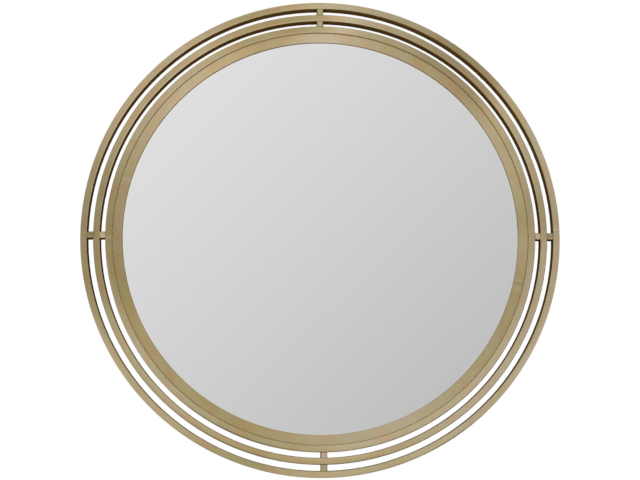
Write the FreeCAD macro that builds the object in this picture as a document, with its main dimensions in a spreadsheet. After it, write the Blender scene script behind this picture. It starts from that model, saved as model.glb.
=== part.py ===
"""Round wall mirror: three concentric hoops of rectangular steel tube round a mirror glass.

Millimetres. The mirror hangs upright: +Z is up, the front faces -Y, and the wall is the plane Y = 0,
which the rubber bumpers touch. The origin is the centre of the mirror on that plane. Angles run
anticlockwise as seen from the front, from 3 o'clock. A depth is a distance in front of the wall.
"""

import FreeCAD
import Part
import Sketcher
import math
import os

# Every size that can be set by itself, with what it measures.
DRIVING_SIZES = (
    ("outside_diameter", 914.4, "over the outer hoop"),
    ("tube_face", 12.7, "width of the hoop tube as seen from the front"),
    ("tube_depth", 25.4, "depth of the hoop tube from front to back"),
    ("tube_wall", 1.2, "wall of the tube"),
    ("tube_corner", 1.3, "outside corner radius of the tube"),
    ("outer_gap", 11.6, "open gap between the outer and middle hoops"),
    ("inner_gap", 10.2, "open gap between the middle and inner hoops"),
    ("weld_gap", 0.05, "gap left at each welded joint"),
    ("vent_diameter", 3.0, "vent hole in the back wall of each hoop"),
    ("vent_angle", 262.0, "place of the vent holes"),
    ("spacer_right_angle", 359.88, "place of the spacers at 3 o'clock"),
    ("spacer_top_angle", 90.26, "place of the spacers at 12 o'clock"),
    ("spacer_left_angle", 180.1, "place of the spacers at 9 o'clock"),
    ("spacer_bottom_angle", 270.74, "place of the spacers at 6 o'clock"),
    ("lip_width", 19.05, "front leg of the angle section that holds the glass"),
    ("leg_margin", 1.95, "from the back of the board on to the end of the angle section's leg"),
    ("lip_thick", 1.6, "thickness of the angle section"),
    ("lip_corner", 0.8, "outside corner radius of the angle section"),
    ("lip_edge", 0.3, "rounding of the front leg's free edge"),
    ("lip_setback", 2.8, "from the front of the hoops back to the front of the lip"),
    ("joint_gap", 0.6, "open joint between the inner hoop and the lip"),
    ("seam_gap", 0.1, "open seam between the two halves of the lip"),
    ("seam_left_angle", 164.0, "place of the left seam"),
    ("seam_right_angle", 346.0, "place of the right seam"),
    ("tack_length", 10.0, "length of a tack weld between lip and inner hoop"),
    ("tack_height", 3.0, "depth of a tack weld"),
    ("tack_count", 5, "tack welds at the back of each half lip"),
    ("front_tack_angle", 267.9, "place of the tack weld that shows in the front joint"),
    ("front_tack_setback", 0.3, "from the front of the lip back to that tack weld"),
    ("tape_width", 9.0, "bedding tape"),
    ("tape_thick", 1.0, "bedding tape"),
    ("tape_inset", 1.5, "from the lip's free edge to the bedding tape"),
    ("glass_thick", 4.0, "mirror glass"),
    ("glass_clearance", 2.0, "between the edge of the glass and the lip's leg"),
    ("glass_arris", 0.5, "ground edge of the glass"),
    ("block_length", 40.0, "setting block along the edge of the glass"),
    ("block_spread_angle", 30.0, "from 6 o'clock to each setting block"),
    ("block_slack", 0.1, "free gap each side of a setting block"),
    ("sheet_thick", 1.5, "foam sheet between glass and board"),
    ("sheet_inset", 1.0, "from the edge of the glass to the edge of the foam sheet"),
    ("board_recess", 5.5, "from the back of the hoops forward to the back of the board"),
    ("board_clearance", 2.0, "between the edge of the board and the lip's leg"),
    ("clip_count", 8, "retaining clips"),
    ("clip_start_angle", 22.5, "place of the first clip"),
    ("clip_width", 16.0, "retaining clip"),
    ("clip_thick", 1.5, "retaining clip"),
    ("clip_toe", 12.0, "reach of a clip over the board"),
    ("clip_heel", 5.5, "from the clip's screw to its outer end"),
    ("clip_bend", 0.8, "inside radius of a clip's bends"),
    ("clip_corner", 3.0, "rounding of the clip's ends"),
    ("clip_clearance", 0.5, "between a clip's step and the lip's leg"),
    ("screw_head_diameter", 8.0, "pan head of every screw"),
    ("screw_head_height", 2.4, "pan head of every screw"),
    ("screw_head_rim", 0.6, "straight edge of the pan head"),
    ("screw_shank_diameter", 3.9, "shank of every screw"),
    ("screw_recess_width", 1.0, "arm of the cross recess"),
    ("screw_recess_span", 4.4, "cross recess from tip to tip"),
    ("screw_recess_depth", 1.3, "cross recess"),
    ("pilot_clearance", 0.05, "between a shank and the hole that it bites in"),
    ("hole_clearance", 0.25, "between a shank and the hole that it passes through"),
    ("clip_screw_length", 9.5, "under the head"),
    ("screw_bite_share", 0.75, "of the board's thickness, that the hanger screws bite"),
    ("hanger_inset", 60.0, "from the edge of the board in to the pivot of each hanger"),
    ("hanger_angle", 44.0, "place of the right hanger's pivot; the left one mirrors it"),
    ("strap_thick", 1.5, "one leaf of the folded strap"),
    ("strap_side_gap", 1.0, "between the strap and each leg of the D ring"),
    ("strap_corner", 5.0, "rounding of the strap's lower corners"),
    ("leaf_gap", 0.2, "between the two leaves of the strap"),
    ("upper_screw_drop", 14.0, "from the pivot down to the upper screw"),
    ("screw_pitch", 24.0, "from the upper screw to the lower one"),
    ("strap_end_margin", 12.0, "from the lower screw to the end of the strap"),
    ("ring_wire", 4.0, "wire of the D ring"),
    ("ring_opening", 20.0, "clear width of the D ring"),
    ("ring_reach", 26.0, "from the pivot to the far side of the D ring"),
    ("ring_rest_gap", 0.3, "between the raised D ring, which leans on the board, and the board"),
    ("pivot_clearance", 0.08, "between the D ring's wire and the loop of the strap"),
    ("bumper_diameter", 11.0, "wall bumper"),
    ("bumper_thick", 5.0, "wall bumper"),
    ("bumper_round", 1.0, "rounding of the bumper's face on the wall"),
    ("bumper_start_angle", 45.0, "place of the first bumper"),
    ("bumper_count", 4, "wall bumpers"),
    ("cut_overrun", 1.0, "how far a cut runs past what it cuts"),
)

# Each hanger has an upper and a lower screw.
HANGER_SCREWS = 2

# How far two measures of one length may differ, as a share of the outside diameter.
MATCH_SHARE = 1e-6

# Radii, as expressions of the driving sizes.
OUTER_HOOP_OUTSIDE = "(sizes.outside_diameter / 2)"
OUTER_HOOP_INSIDE = f"({OUTER_HOOP_OUTSIDE} - sizes.tube_face)"
MIDDLE_HOOP_OUTSIDE = f"({OUTER_HOOP_INSIDE} - sizes.outer_gap)"
MIDDLE_HOOP_INSIDE = f"({MIDDLE_HOOP_OUTSIDE} - sizes.tube_face)"
INNER_HOOP_OUTSIDE = f"({MIDDLE_HOOP_INSIDE} - sizes.inner_gap)"
INNER_HOOP_INSIDE = f"({INNER_HOOP_OUTSIDE} - sizes.tube_face)"
LIP_OUTSIDE = f"({INNER_HOOP_INSIDE} - sizes.joint_gap)"
LIP_OPENING = f"({LIP_OUTSIDE} - sizes.lip_width)"
LEG_INSIDE = f"({LIP_OUTSIDE} - sizes.lip_thick)"
GLASS_RADIUS = f"({LEG_INSIDE} - sizes.glass_clearance)"
BOARD_RADIUS = f"({LEG_INSIDE} - sizes.board_clearance)"
TAPE_INSIDE = f"({LIP_OPENING} + sizes.tape_inset)"
CLIP_SCREW_RADIUS = f"({INNER_HOOP_INSIDE} + sizes.tube_face / 2)"
BUMPER_RADIUS = f"({OUTER_HOOP_OUTSIDE} - sizes.tube_face / 2)"

# Depths in front of the wall, as expressions of the driving sizes.
HOOP_BACK = "sizes.bumper_thick"
HOOP_FRONT = f"({HOOP_BACK} + sizes.tube_depth)"
LIP_FRONT = f"({HOOP_FRONT} - sizes.lip_setback)"
LIP_BACK = f"({LIP_FRONT} - sizes.lip_thick)"
GLASS_FRONT = f"({LIP_BACK} - sizes.tape_thick)"
GLASS_BACK = f"({GLASS_FRONT} - sizes.glass_thick)"
BOARD_FRONT = f"({GLASS_BACK} - sizes.sheet_thick)"
BOARD_BACK = f"({HOOP_BACK} + sizes.board_recess)"
BOARD_THICK = f"({BOARD_FRONT} - {BOARD_BACK})"
LEG_BACK = f"({BOARD_BACK} - sizes.leg_margin)"

# Places and sizes of the hangers and screw holes, as expressions of the driving sizes.
HANGER_OFFSET = f"(({BOARD_RADIUS} - sizes.hanger_inset) * cos(sizes.hanger_angle * 1deg))"
HANGER_HEIGHT = f"(({BOARD_RADIUS} - sizes.hanger_inset) * sin(sizes.hanger_angle * 1deg))"
WIRE_RADIUS = "(sizes.ring_wire / 2)"
WIRE_REACH = f"(sizes.ring_reach - {WIRE_RADIUS})"
WIRE_HALF_WIDTH = f"(sizes.ring_opening / 2 + {WIRE_RADIUS})"
WIRE_BEND = f"({WIRE_RADIUS} + sizes.strap_side_gap)"
LOOP_INSIDE = f"({WIRE_RADIUS} + sizes.pivot_clearance)"
LOOP_OUTSIDE = f"({LOOP_INSIDE} + sizes.strap_thick)"
STRAP_STACK = "(2 * sizes.strap_thick + sizes.leaf_gap)"
STRAP_WIDTH = "(sizes.ring_opening - 2 * sizes.strap_side_gap)"
STRAP_LENGTH = "(sizes.upper_screw_drop + sizes.screw_pitch + sizes.strap_end_margin)"
RING_LEAN = f"asin(({LOOP_OUTSIDE} - {WIRE_RADIUS} - sizes.ring_rest_gap) / {WIRE_REACH})"
PILOT_DIAMETER = "(sizes.screw_shank_diameter + 2 * sizes.pilot_clearance)"
CLEAR_DIAMETER = "(sizes.screw_shank_diameter + 2 * sizes.hole_clearance)"
SCREW_BITE = f"({BOARD_THICK} * sizes.screw_bite_share)"

FULL_TURN = 360
HALF_TURN = 180
X_AXIS = FreeCAD.Vector(1, 0, 0)
ANTICLOCKWISE_AXIS = FreeCAD.Vector(0, -1, 0)

doc = FreeCAD.newDocument("round_mirror")
sheet = doc.addObject("Spreadsheet::Sheet", "sizes")
nodes = []


def fill_sheet():
    """Writes each driving size as a plain number with its alias and what it measures."""
    for row, (alias, size, meaning) in enumerate(DRIVING_SIZES, start=1):
        sheet.set(f"A{row}", meaning)
        sheet.set(f"B{row}", str(size))
        sheet.setAlias(f"B{row}", alias)
    doc.recompute()


def value(expression):
    """The number that an expression of the driving sizes has now."""
    return float(sheet.evalExpression(expression))


def arc_degrees(length, radius):
    """Expression of the angle that a length takes on a circle."""
    return f"({length} / {radius} * {HALF_TURN} / pi)"


def new_body(node):
    """A sub-part, kept as the node of that name."""
    body = doc.addObject("PartDesign::Body", node)
    body.Label = node
    nodes.append(body)
    return body


def new_sketch(body, name, role, offset=None):
    """A sketch on one of the body's own origin planes, moved along its normal by an expression."""
    plane = next(feature for feature in body.Origin.OriginFeatures if feature.Role == role)
    sketch = body.newObject("Sketcher::SketchObject", f"{body.Name}_{name}")
    sketch.AttachmentSupport = [(plane, "")]
    sketch.MapMode = "FlatFace"
    if offset:
        sketch.setExpression("AttachmentOffset.Base.z", offset)
        doc.recompute()
    return sketch


def dimension(sketch, kind, *where, size):
    """Adds a dimension that follows an expression."""
    index = sketch.addConstraint(Sketcher.Constraint(kind, *where, value(size)))
    sketch.setExpression(f"Constraints[{index}]", size)


def pin_point(sketch, curve, point, across, along):
    """Fixes a point of a curve at two expressions from the sketch's origin."""
    dimension(sketch, "DistanceX", -1, 1, curve, point, size=across)
    dimension(sketch, "DistanceY", -1, 1, curve, point, size=along)


def draw_outline(sketch, corners):
    """Draws a closed run of straight lines through corners given as pairs of expressions."""
    points = [FreeCAD.Vector(value(across), value(along), 0) for across, along in corners]
    first = sketch.GeometryCount
    for index, point in enumerate(points):
        following = points[(index + 1) % len(points)]
        sketch.addGeometry(Part.LineSegment(point, following), False)
    for index, (across, along) in enumerate(corners):
        following = first + (index + 1) % len(points)
        sketch.addConstraint(Sketcher.Constraint("Coincident", first + index, 2, following, 1))
        pin_point(sketch, first + index, 1, across, along)


def draw_rectangle(sketch, left, right, low, high):
    """Draws a rectangle between four expressions."""
    draw_outline(sketch, ((left, low), (right, low), (right, high), (left, high)))


def draw_circle(sketch, across, along, diameter):
    """Draws a circle that is fixed by expressions."""
    centre = FreeCAD.Vector(value(across), value(along), 0)
    curve = sketch.addGeometry(Part.Circle(centre, FreeCAD.Vector(0, 0, 1), value(diameter) / 2), False)
    pin_point(sketch, curve, 3, across, along)
    dimension(sketch, "Diameter", curve, size=diameter)


def revolve(body, sketch, angle=None):
    """Turns a sketch anticlockwise about the mirror's axis, by an expression or all the way round."""
    feature = body.newObject("PartDesign::Revolution", f"{sketch.Name}_turned")
    feature.Profile = sketch
    feature.ReferenceAxis = (sketch, ["V_Axis"])
    feature.Reversed = True
    feature.Angle = FULL_TURN
    if angle:
        feature.setExpression("Angle", angle)
    doc.recompute()
    return feature


def pad(body, sketch, length, midplane=False):
    """Raises a sketch by an expression."""
    feature = body.newObject("PartDesign::Pad", f"{sketch.Name}_raised")
    feature.Profile = sketch
    feature.Midplane = midplane
    feature.setExpression("Length", length)
    doc.recompute()
    return feature


def pocket(body, sketch, length=None, reversed_way=False):
    """Cuts a sketch to a depth, or both ways right through."""
    before = body.Shape.Volume
    feature = body.newObject("PartDesign::Pocket", f"{sketch.Name}_cut")
    feature.Profile = sketch
    if length:
        feature.Reversed = reversed_way
        feature.setExpression("Length", length)
    else:
        feature.Type = "ThroughAll"
        feature.Midplane = True
    doc.recompute()
    if not feature.Shape.Volume < before:
        raise RuntimeError(f"{feature.Name} cuts nothing")
    return feature


def polar_pattern(body, originals, sketch, axis, count, angle=None):
    """Repeats features about an axis of a sketch, over an expression's angle or the full turn."""
    feature = body.newObject("PartDesign::PolarPattern", f"{originals[0].Name}_repeated")
    feature.Originals = originals
    feature.Axis = (sketch, [axis])
    feature.Angle = FULL_TURN
    if angle:
        feature.setExpression("Angle", angle)
    feature.setExpression("Occurrences", count)
    body.Tip = feature
    doc.recompute()
    return feature


def dress_edges(body, kind, size_property, size, wanted):
    """Rounds or chamfers the edges of the body that a test picks."""
    base = body.Tip
    picked = [f"Edge{number}" for number, edge in enumerate(base.Shape.Edges, start=1) if wanted(edge)]
    if not picked:
        raise RuntimeError(f"{body.Name} has no edge to dress")
    feature = body.newObject(kind, f"{base.Name}_dressed")
    feature.Base = (base, picked)
    feature.setExpression(size_property, size)
    doc.recompute()
    return feature


def round_edges(body, radius, wanted):
    """Rounds the edges that a test picks."""
    return dress_edges(body, "PartDesign::Fillet", "Radius", radius, wanted)


def chamfer_edges(body, width, wanted):
    """Chamfers the edges that a test picks."""
    return dress_edges(body, "PartDesign::Chamfer", "Size", width, wanted)


def near(number, expression):
    """Whether a measured length is the one that an expression gives."""
    return abs(number - value(expression)) < value("sizes.outside_diameter") * MATCH_SHARE


def is_circle(edge, radius, depth):
    """Whether an edge lies on a circle of that radius at that depth."""
    if not isinstance(edge.Curve, Part.Circle):
        return False
    return near(edge.Curve.Radius, radius) and near(-edge.Curve.Center.y, depth)


def turn_to(body, angle):
    """Turns a sub-part, modelled at 3 o'clock, to its place."""
    body.Placement = FreeCAD.Placement(FreeCAD.Vector(), FreeCAD.Rotation(ANTICLOCKWISE_AXIS, value(angle)))
    body.setExpression("Placement.Rotation.Angle", angle)


def polar_place(radius, angle):
    """Across and up expressions of a place on the front view."""
    return f"{radius} * cos({angle} * 1deg)", f"{radius} * sin({angle} * 1deg)"


def make_hoop(node, outside, inside):
    """One hoop of rectangular tube, with a vent hole in its back wall."""
    body = new_body(node)
    section = new_sketch(body, "section", "XY_Plane")
    draw_rectangle(section, inside, outside, f"-{HOOP_FRONT}", f"-{HOOP_BACK}")
    draw_rectangle(
        section,
        f"{inside} + sizes.tube_wall",
        f"{outside} - sizes.tube_wall",
        f"-({HOOP_FRONT} - sizes.tube_wall)",
        f"-({HOOP_BACK} + sizes.tube_wall)",
    )
    revolve(body, section)
    corners = [(radius, depth) for radius in (inside, outside) for depth in (HOOP_FRONT, HOOP_BACK)]
    round_edges(body, "sizes.tube_corner", lambda edge: any(is_circle(edge, *corner) for corner in corners))
    vent = new_sketch(body, "vent", "XZ_Plane")
    middle = f"({inside} + sizes.tube_face / 2)"
    draw_circle(vent, *polar_place(middle, "sizes.vent_angle"), "sizes.vent_diameter")
    pocket(body, vent, f"{HOOP_BACK} + sizes.tube_wall + sizes.cut_overrun", reversed_way=True)
    return body


def make_hoops():
    """The three hoops. The clips are screwed to the back wall of the inner one."""
    make_hoop("outer_hoop", OUTER_HOOP_OUTSIDE, OUTER_HOOP_INSIDE)
    make_hoop("middle_hoop", MIDDLE_HOOP_OUTSIDE, MIDDLE_HOOP_INSIDE)
    inner = make_hoop("inner_hoop", INNER_HOOP_OUTSIDE, INNER_HOOP_INSIDE)
    pilot = new_sketch(inner, "pilot", "XZ_Plane")
    draw_circle(pilot, *polar_place(CLIP_SCREW_RADIUS, "sizes.clip_start_angle"), PILOT_DIAMETER)
    hole = pocket(inner, pilot, f"{HOOP_BACK} + sizes.tube_wall + sizes.cut_overrun", reversed_way=True)
    polar_pattern(inner, [hole], pilot, "N_Axis", "sizes.clip_count")


def make_spacer(node, outer_inside, inner_outside, angle):
    """A short length of tube that stands square between two hoops, with open ends."""
    body = new_body(node)
    half_face = "sizes.tube_face / 2"
    start = f"({inner_outside} + sizes.weld_gap)"
    end = f"(sqrt(pow({outer_inside}; 2) - pow({half_face}; 2)) - sizes.weld_gap)"
    section = new_sketch(body, "section", "YZ_Plane", offset=start)
    draw_rectangle(section, f"-{HOOP_FRONT}", f"-{HOOP_BACK}", f"-{half_face}", half_face)
    draw_rectangle(
        section,
        f"-({HOOP_FRONT} - sizes.tube_wall)",
        f"-({HOOP_BACK} + sizes.tube_wall)",
        f"-({half_face} - sizes.tube_wall)",
        f"{half_face} - sizes.tube_wall",
    )
    pad(body, section, f"{end} - {start}")

    def is_outside_corner(edge):
        first, last = edge.firstVertex().Point, edge.lastVertex().Point
        runs_out = near(abs(last.x - first.x), f"{end} - {start}")
        return runs_out and near(abs(first.z), half_face)

    round_edges(body, "sizes.tube_corner", is_outside_corner)
    turn_to(body, angle)


def make_spacers():
    """Two spacers in line at 3, 12, 9 and 6 o'clock."""
    for place in ("right", "top", "left", "bottom"):
        angle = f"sizes.spacer_{place}_angle"
        make_spacer(f"outer_spacer_{place}", OUTER_HOOP_INSIDE, MIDDLE_HOOP_OUTSIDE, angle)
        make_spacer(f"inner_spacer_{place}", MIDDLE_HOOP_INSIDE, INNER_HOOP_OUTSIDE, angle)


def make_half_lip(node, start, end):
    """Half of the rolled angle section: its front leg covers the rim of the glass."""
    body = new_body(node)
    span = f"({end} - {start} - {arc_degrees('sizes.seam_gap', LIP_OUTSIDE)})"
    section = new_sketch(body, "section", "XY_Plane")
    draw_outline(
        section,
        (
            (LIP_OPENING, f"-{LIP_FRONT}"),
            (LIP_OUTSIDE, f"-{LIP_FRONT}"),
            (LIP_OUTSIDE, f"-{LEG_BACK}"),
            (LEG_INSIDE, f"-{LEG_BACK}"),
            (LEG_INSIDE, f"-{LIP_BACK}"),
            (LIP_OPENING, f"-{LIP_BACK}"),
        ),
    )
    revolve(body, section, span)
    round_edges(body, "sizes.lip_corner", lambda edge: is_circle(edge, LIP_OUTSIDE, LIP_FRONT))
    round_edges(body, "sizes.lip_edge", lambda edge: is_circle(edge, LIP_OPENING, LIP_FRONT))
    tack = new_sketch(body, "tack", "XY_Plane")
    draw_tack(tack, f"{LEG_BACK} + sizes.tack_height", LEG_BACK)
    tack_span = arc_degrees("sizes.tack_length", LIP_OUTSIDE)
    weld = revolve(body, tack, tack_span)
    polar_pattern(body, [weld], tack, "V_Axis", "sizes.tack_count", f"-({span} - {tack_span})")
    turn_to(body, start)
    return body


def draw_tack(sketch, front, back):
    """Draws the section of a tack weld, from the lip's leg across the joint to the inner hoop."""
    draw_rectangle(
        sketch,
        f"{LEG_INSIDE} + sizes.lip_thick / 2",
        f"{INNER_HOOP_INSIDE} - sizes.weld_gap",
        f"-({front})",
        f"-({back})",
    )


def make_lip():
    """Both halves of the lip. The lower one has the tack weld that fills the joint in front."""
    lower = make_half_lip("lip_lower_half", "sizes.seam_left_angle", "sizes.seam_right_angle")
    upper_end = f"(sizes.seam_left_angle + {FULL_TURN})"
    make_half_lip("lip_upper_half", "sizes.seam_right_angle", upper_end)
    front = new_sketch(lower, "front_tack", "XY_Plane")
    to_tack = "sizes.front_tack_angle - sizes.seam_left_angle"
    front.AttachmentOffset = FreeCAD.Placement(
        FreeCAD.Vector(), FreeCAD.Rotation(ANTICLOCKWISE_AXIS, value(to_tack))
    )
    front.setExpression("AttachmentOffset.Rotation.Angle", to_tack)
    doc.recompute()
    visible = f"({LIP_FRONT} - sizes.front_tack_setback)"
    draw_tack(front, visible, f"{visible} - sizes.tack_height")
    revolve(lower, front, arc_degrees("sizes.tack_length", LIP_OUTSIDE))


def make_glazing():
    """What lies behind the lip: tape, glass, setting blocks, foam sheet and backing board."""
    tape = new_body("bedding_tape")
    section = new_sketch(tape, "section", "XY_Plane")
    draw_rectangle(
        section, TAPE_INSIDE, f"{TAPE_INSIDE} + sizes.tape_width", f"-{LIP_BACK}", f"-{GLASS_FRONT}"
    )
    revolve(tape, section)

    glass = make_disc("mirror_glass", GLASS_RADIUS, GLASS_BACK, "sizes.glass_thick")
    chamfer_edges(glass, "sizes.glass_arris", lambda edge: isinstance(edge.Curve, Part.Circle))

    for place, turn in (("left", "-"), ("right", "+")):
        block = new_body(f"setting_block_{place}")
        section = new_sketch(block, "section", "XY_Plane")
        draw_rectangle(
            section,
            f"{GLASS_RADIUS} + sizes.block_slack",
            f"{LEG_INSIDE} - sizes.block_slack",
            f"-{GLASS_FRONT}",
            f"-{GLASS_BACK}",
        )
        block_span = arc_degrees("sizes.block_length", LEG_INSIDE)
        revolve(block, section, block_span)
        lowest = FULL_TURN - HALF_TURN / 2
        turn_to(block, f"{lowest} {turn} sizes.block_spread_angle - {block_span} / 2")

    make_disc("foam_sheet", f"({GLASS_RADIUS} - sizes.sheet_inset)", BOARD_FRONT, "sizes.sheet_thick")

    board = make_disc("backing_board", BOARD_RADIUS, BOARD_BACK, BOARD_THICK)
    pilots = new_sketch(board, "pilots", "XZ_Plane", offset=BOARD_BACK)
    upper = f"{HANGER_HEIGHT} - sizes.upper_screw_drop"
    for side in ("-", ""):
        for up in (upper, f"{upper} - sizes.screw_pitch"):
            draw_circle(pilots, f"{side}{HANGER_OFFSET}", up, PILOT_DIAMETER)
    pocket(board, pilots, f"{SCREW_BITE} + sizes.pilot_clearance", reversed_way=True)


def make_disc(node, radius, back, thick):
    """A round plate whose back face lies at a depth."""
    body = new_body(node)
    outline = new_sketch(body, "outline", "XZ_Plane", offset=back)
    draw_circle(outline, "0", "0", f"2 * {radius}")
    pad(body, outline, thick)
    return body


def make_clip(node, angle):
    """A stepped strip: its foot is screwed behind the inner hoop, its toe presses on the board."""
    body = new_body(node)
    step = f"({LEG_INSIDE} - sizes.clip_clearance)"
    heel = f"({CLIP_SCREW_RADIUS} + sizes.clip_heel)"
    toe = f"({BOARD_RADIUS} - sizes.clip_toe)"
    profile = new_sketch(body, "profile", "XY_Plane")
    draw_outline(
        profile,
        (
            (heel, f"-{HOOP_BACK}"),
            (heel, f"-({HOOP_BACK} - sizes.clip_thick)"),
            (f"{step} - sizes.clip_thick", f"-({HOOP_BACK} - sizes.clip_thick)"),
            (f"{step} - sizes.clip_thick", f"-({BOARD_BACK} - sizes.clip_thick)"),
            (toe, f"-({BOARD_BACK} - sizes.clip_thick)"),
            (toe, f"-{BOARD_BACK}"),
            (step, f"-{BOARD_BACK}"),
            (step, f"-{HOOP_BACK}"),
        ),
    )
    pad(body, profile, "sizes.clip_width", midplane=True)

    def is_bend(inner):
        across = step if inner else f"{step} - sizes.clip_thick"
        other_across = f"{step} - sizes.clip_thick" if inner else step
        depth = HOOP_BACK if inner else f"{HOOP_BACK} - sizes.clip_thick"
        other_depth = f"{BOARD_BACK} - sizes.clip_thick" if inner else BOARD_BACK

        def wanted(edge):
            first, last = edge.firstVertex().Point, edge.lastVertex().Point
            if not near(abs(last.z - first.z), "sizes.clip_width"):
                return False
            at_foot = near(first.x, across) and near(-first.y, depth)
            at_toe = near(first.x, other_across) and near(-first.y, other_depth)
            return at_foot or at_toe

        return wanted

    round_edges(body, "sizes.clip_bend", is_bend(True))
    round_edges(body, "sizes.clip_bend + sizes.clip_thick", is_bend(False))

    def is_end_corner(edge):
        first, last = edge.firstVertex().Point, edge.lastVertex().Point
        runs_through = near(abs(last.y - first.y), "sizes.clip_thick")
        return runs_through and (near(first.x, heel) or near(first.x, toe))

    round_edges(body, "sizes.clip_corner", is_end_corner)
    hole = new_sketch(body, "hole", "XZ_Plane")
    draw_circle(hole, CLIP_SCREW_RADIUS, "0", CLEAR_DIAMETER)
    pocket(body, hole)
    turn_to(body, angle)


def cross_outline(centre, up, arm, reach):
    """Corners of a cross with four equal arms, anticlockwise."""
    corners = []
    for right, top in (("+", "+"), ("-", "+"), ("-", "-"), ("+", "-")):
        quarter = [(reach, arm), (arm, arm), (arm, reach)]
        if right != top:
            quarter.reverse()
        for across, along in quarter:
            corners.append((f"{centre} {right} {across}", f"{up} {top} {along}"))
    return corners


def draw_screw(sketch, centre, seat, length):
    """Half the section of a pan-head screw: a domed head with a straight rim, a shank and a point."""
    rim = f"{centre} + sizes.screw_head_diameter / 2"
    flank = f"{centre} + sizes.screw_shank_diameter / 2"
    tip = f"({seat} - {length})"
    rim_top = (rim, f"({seat} + sizes.screw_head_rim)")
    shoulder = (flank, f"({tip} + sizes.screw_shank_diameter / 2)")
    crown = (centre, f"({seat} + sizes.screw_head_height)")
    run = (rim_top, (rim, seat), (flank, seat), shoulder, (centre, tip), crown)
    points = [FreeCAD.Vector(value(across), value(along), 0) for across, along in run]
    for point, following in zip(points, points[1:]):
        sketch.addGeometry(Part.LineSegment(point, following), False)
    first, last = points[0], points[-1]
    reach, rise = first.x - last.x, last.y - first.y
    dome_radius = (reach**2 + rise**2) / (2 * rise)
    dome_centre = last - FreeCAD.Vector(0, dome_radius, 0)
    dome_circle = Part.Circle(dome_centre, FreeCAD.Vector(0, 0, 1), dome_radius)
    dome_start = math.atan2(first.y - dome_centre.y, reach)
    dome = sketch.addGeometry(Part.ArcOfCircle(dome_circle, dome_start, math.pi / 2), False)
    axis = dome - 1
    for line in range(axis):
        sketch.addConstraint(Sketcher.Constraint("Coincident", line, 2, line + 1, 1))
    for line, place in enumerate(run[:-1]):
        pin_point(sketch, line, 1, *place)
    pin_point(sketch, axis, 2, *crown)
    sketch.addConstraint(Sketcher.Constraint("Coincident", dome, 1, 0, 1))
    sketch.addConstraint(Sketcher.Constraint("Coincident", dome, 2, axis, 2))
    sketch.addConstraint(Sketcher.Constraint("PointOnObject", dome, 3, axis))
    return f"Edge{axis + 1}"


def make_screw(body, centre, seat, length, drop=None):
    """A screw along Y whose head stands on the seat, towards the wall. Returns its sketch and features."""
    profile = new_sketch(body, "profile", "XY_Plane", offset=drop)
    axis = draw_screw(profile, centre, seat, length)
    turned = body.newObject("PartDesign::Revolution", f"{profile.Name}_turned")
    turned.Profile = profile
    turned.ReferenceAxis = (profile, [axis])
    turned.Angle = FULL_TURN
    doc.recompute()
    recess = new_sketch(body, "recess", "XZ_Plane", offset=f"-({seat} + sizes.screw_head_height)")
    arm, reach = "sizes.screw_recess_width / 2", "sizes.screw_recess_span / 2"
    draw_outline(recess, cross_outline(centre, drop or "0", arm, reach))
    cut = pocket(body, recess, "sizes.screw_recess_depth", reversed_way=True)
    return profile, [turned, cut]


def make_clips():
    """The retaining clips, spread evenly, and their screws as one group."""
    for index in range(int(value("sizes.clip_count"))):
        angle = f"sizes.clip_start_angle + {index} * {FULL_TURN} / sizes.clip_count"
        make_clip(f"retaining_clip_{index + 1}", angle)
    screws = new_body("clip_screws")
    screws.AllowCompound = True
    seat = f"-({HOOP_BACK} - sizes.clip_thick)"
    profile, features = make_screw(screws, CLIP_SCREW_RADIUS, seat, "sizes.clip_screw_length")
    polar_pattern(screws, features, profile, "V_Axis", "sizes.clip_count")
    turn_to(screws, "sizes.clip_start_angle")


def put_at_hanger(body, side):
    """Moves a sub-part, modelled about the pivot of a hanger, to that hanger."""
    base = {
        "x": f"{side}{HANGER_OFFSET}",
        "y": f"-({BOARD_BACK} - {LOOP_OUTSIDE})",
        "z": HANGER_HEIGHT,
    }
    body.Placement.Base = FreeCAD.Vector(*(value(expression) for expression in base.values()))
    for name, expression in base.items():
        body.setExpression(f"Placement.Base.{name}", expression)


def make_strap(node, side):
    """A strip folded round the D ring's wire, with both leaves flat on the board."""
    body = new_body(node)
    outer_face = f"({STRAP_STACK} - {LOOP_OUTSIDE})"
    leaves = new_sketch(body, "leaves", "YZ_Plane")
    draw_rectangle(leaves, f"-{LOOP_OUTSIDE}", outer_face, f"-{STRAP_LENGTH}", "-sizes.pivot_clearance")
    pad(body, leaves, STRAP_WIDTH, midplane=True)

    def is_lower_corner(edge):
        first, last = edge.firstVertex().Point, edge.lastVertex().Point
        runs_through = near(abs(last.y - first.y), STRAP_STACK)
        return runs_through and near(first.z, f"-{STRAP_LENGTH}")

    round_edges(body, "sizes.strap_corner", is_lower_corner)
    loop = new_sketch(body, "loop", "YZ_Plane")
    draw_circle(loop, "0", "0", f"2 * {LOOP_OUTSIDE}")
    pad(body, loop, STRAP_WIDTH, midplane=True)
    bore = new_sketch(body, "bore", "YZ_Plane")
    draw_circle(bore, "0", "0", f"2 * {LOOP_INSIDE}")
    pocket(body, bore)
    slit = new_sketch(body, "slit", "YZ_Plane")
    draw_rectangle(
        slit,
        f"-{LOOP_INSIDE}",
        f"sizes.leaf_gap - {LOOP_INSIDE}",
        f"-({STRAP_LENGTH} + sizes.cut_overrun)",
        f"-{LOOP_OUTSIDE}",
    )
    pocket(body, slit)
    holes = new_sketch(body, "holes", "XZ_Plane")
    for drop in ("sizes.upper_screw_drop", "(sizes.upper_screw_drop + sizes.screw_pitch)"):
        draw_circle(holes, "0", f"-{drop}", CLEAR_DIAMETER)
    pocket(body, holes)
    put_at_hanger(body, side)


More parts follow.
